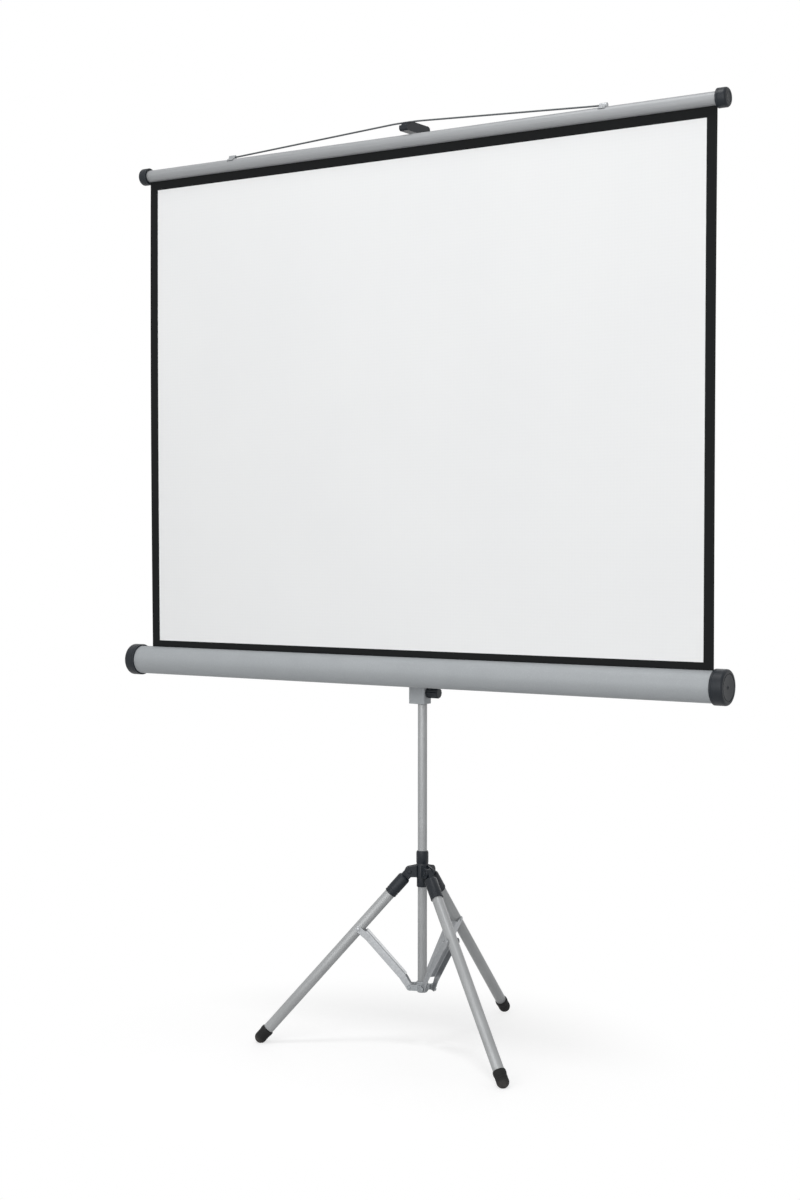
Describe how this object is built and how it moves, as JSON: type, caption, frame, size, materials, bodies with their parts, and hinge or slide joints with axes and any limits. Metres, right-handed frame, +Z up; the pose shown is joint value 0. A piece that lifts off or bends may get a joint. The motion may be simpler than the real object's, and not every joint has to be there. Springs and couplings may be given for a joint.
{
  "type": "tripod projection screen",
  "caption": "Free-standing tripod projection screen: a roller case on a telescopic mast with folding legs; the drawn-out white screen hangs by a wire bail on the mast's arm.",
  "frame": {"origin": "on the floor, at the middle of the bounding box seen from above", "axes": "+Z up; the white side of the screen faces -Y; +X to the right as seen by a viewer in front of the screen"},
  "size_m": [1.646, 0.6084, 2.166],
  "materials": {
    "grey_enamel": "satin",
    "tube_steel": "satin",
    "plated_steel": "satin",
    "batten_aluminium": "satin",
    "black_plastic": "matte",
    "rubber": "matte",
    "screen_cloth": "matte"
  },
  "bodies": {
    "mast": {"mast_outer_tube": "tube_steel", "bottom_hub": "grey_enamel", "outer_clamp": "black_plastic"},
    "outer_clamp_knob": {"outer_clamp_knob": "black_plastic"},
    "mast_middle": {"mast_middle_tube": "tube_steel", "middle_clamp": "black_plastic"},
    "middle_clamp_knob": {"middle_clamp_knob": "black_plastic"},
    "mast_inner": {"mast_inner_tube": "tube_steel", "mast_head": "black_plastic"},
    "collar": {"leg_collar": "black_plastic", "collar_pin_left": "plated_steel", "collar_pin_right": "plated_steel", "collar_pin_rear": "plated_steel"},
    "collar_knob": {"collar_knob": "black_plastic"},
    "leg_left": {"leg_head_left": "black_plastic", "leg_tube_left": "tube_steel", "brace_rivet_left": "plated_steel", "foot_left": "rubber"},
    "brace_left": {"brace_left": "plated_steel"},
    "leg_right": {"leg_head_right": "black_plastic", "leg_tube_right": "tube_steel", "brace_rivet_right": "plated_steel", "foot_right": "rubber"},
    "brace_right": {"brace_right": "plated_steel"},
    "leg_rear": {"leg_head_rear": "black_plastic", "leg_tube_rear": "tube_steel", "brace_rivet_rear": "plated_steel", "foot_rear": "rubber"},
    "brace_rear": {"brace_rear": "plated_steel"},
    "carriage": {"carriage_bracket": "grey_enamel", "carriage_liner": "black_plastic", "swivel_plate": "plated_steel", "swivel_washer": "black_plastic"},
    "carriage_knob": {"carriage_knob": "black_plastic"},
    "case": {"case_saddle": "grey_enamel", "case_tube": "grey_enamel", "case_cap_left": "black_plastic", "case_cap_right": "black_plastic", "roller_bracket_left": "plated_steel", "roller_bracket_right": "plated_steel", "screen_fabric": "screen_cloth"},
    "roller": {"roller_tube": "batten_aluminium", "fabric_roll": "screen_cloth", "roller_plug_left": "black_plastic", "roller_plug_right": "black_plastic"},
    "batten": {"batten_tube": "batten_aluminium", "hem_rod": "plated_steel", "batten_cap_left": "black_plastic", "batten_cap_right": "black_plastic", "bail_socket_left": "plated_steel", "bail_socket_right": "plated_steel"},
    "bail": {"bail_wire": "plated_steel"}
  },
  "joints": [
    {"name": "tripod_fold", "type": "hinge", "parent": "mast", "child": "brace_rear", "pos_m": [0.015, -0.06659, 0.141], "axis": [1, 0, 0], "range_deg": [0, 41]},
    {"name": "rear_leg_on_brace", "type": "hinge", "parent": "brace_rear", "child": "leg_rear", "pos_m": [0.015, 0.05506, 0.2785], "axis": [1, 0, 0], "range_deg": [-82, 0]},
    {"name": "collar_on_rear_leg", "type": "hinge", "parent": "leg_rear", "child": "collar", "pos_m": [0.015, -0.06659, 0.416], "axis": [1, 0, 0], "range_deg": [0, 41]},
    {"name": "left_leg_on_collar", "type": "hinge", "parent": "collar", "child": "leg_left", "pos_m": [-0.01098, -0.11159, 0.416], "axis": [-0.5, 0.866, 0], "range_deg": [-41, 0]},
    {"name": "right_leg_on_collar", "type": "hinge", "parent": "collar", "child": "leg_right", "pos_m": [0.04098, -0.11159, 0.416], "axis": [-0.5, -0.866, 0], "range_deg": [-41, 0]},
    {"name": "left_brace_on_hub", "type": "hinge", "parent": "mast", "child": "brace_left", "pos_m": [-0.01098, -0.11159, 0.141], "axis": [-0.5, 0.866, 0], "range_deg": [0, 41]},
    {"name": "right_brace_on_hub", "type": "hinge", "parent": "mast", "child": "brace_right", "pos_m": [0.04098, -0.11159, 0.141], "axis": [-0.5, -0.866, 0], "range_deg": [0, 41]},
    {"name": "case_height", "type": "slide", "parent": "mast", "child": "carriage", "axis": [0, 0, -1], "range_m": [0, 0.15]},
    {"name": "mast_extension", "type": "slide", "parent": "carriage", "child": "mast_middle", "axis": [0, 0, 1], "range_m": [-0.571, 0], "deforming": ["screen_fabric"]},
    {"name": "mast_top_stage", "type": "slide", "parent": "mast_middle", "child": "mast_inner", "axis": [0, 0, 1], "range_m": [-0.571, 0]},
    {"name": "screen_draw", "type": "slide", "parent": "case", "child": "batten", "axis": [0, 0, 1], "range_m": [-1.142, 0]},
    {"name": "roller_turn", "type": "hinge", "parent": "case", "child": "roller", "pos_m": [0.015, -0.15359, 0.894], "axis": [1, 0, 0], "range_deg": [0, 4780]},
    {"name": "case_level", "type": "hinge", "parent": "carriage", "child": "case", "pos_m": [0.015, -0.12659, 0.878], "axis": [0, 1, 0], "range_deg": [-3, 3]},
    {"name": "bail_swing", "type": "hinge", "parent": "batten", "child": "bail", "pos_m": [0.015, -0.16759, 2.139], "axis": [1, 0, 0], "range_deg": [0, 105]},
    {"name": "carriage_knob_turn", "type": "hinge", "parent": "carriage", "child": "carriage_knob", "pos_m": [0.0303, -0.09659, 0.842], "axis": [1, 0, 0], "range_deg": [0, 360]},
    {"name": "collar_knob_turn", "type": "hinge", "parent": "collar", "child": "collar_knob", "pos_m": [0.00285, -0.07789, 0.45], "axis": [-0.5446, 0.8387, 0], "range_deg": [0, 360]},
    {"name": "outer_clamp_knob_turn", "type": "hinge", "parent": "mast", "child": "outer_clamp_knob", "pos_m": [0.015, -0.07229, 0.9335], "axis": [0, 1, 0], "range_deg": [0, 360]},
    {"name": "middle_clamp_knob_turn", "type": "hinge", "parent": "mast_middle", "child": "middle_clamp_knob", "pos_m": [0.015, -0.07229, 1.546], "axis": [0, 1, 0], "range_deg": [0, 360]}
  ],
  "couplings": [
    {"joint": "rear_leg_on_brace", "follows": "tripod_fold", "ratio": -2},
    {"joint": "collar_on_rear_leg", "follows": "tripod_fold", "ratio": 1},
    {"joint": "left_leg_on_collar", "follows": "tripod_fold", "ratio": -1},
    {"joint": "right_leg_on_collar", "follows": "tripod_fold", "ratio": -1},
    {"joint": "left_brace_on_hub", "follows": "tripod_fold", "ratio": 1},
    {"joint": "right_brace_on_hub", "follows": "tripod_fold", "ratio": 1},
    {"joint": "mast_top_stage", "follows": "mast_extension", "ratio": 1},
    {"joint": "screen_draw", "follows": "mast_extension", "ratio": 2},
    {"joint": "roller_turn", "follows": "mast_extension", "rad_per_m": -145.99}
  ]
}
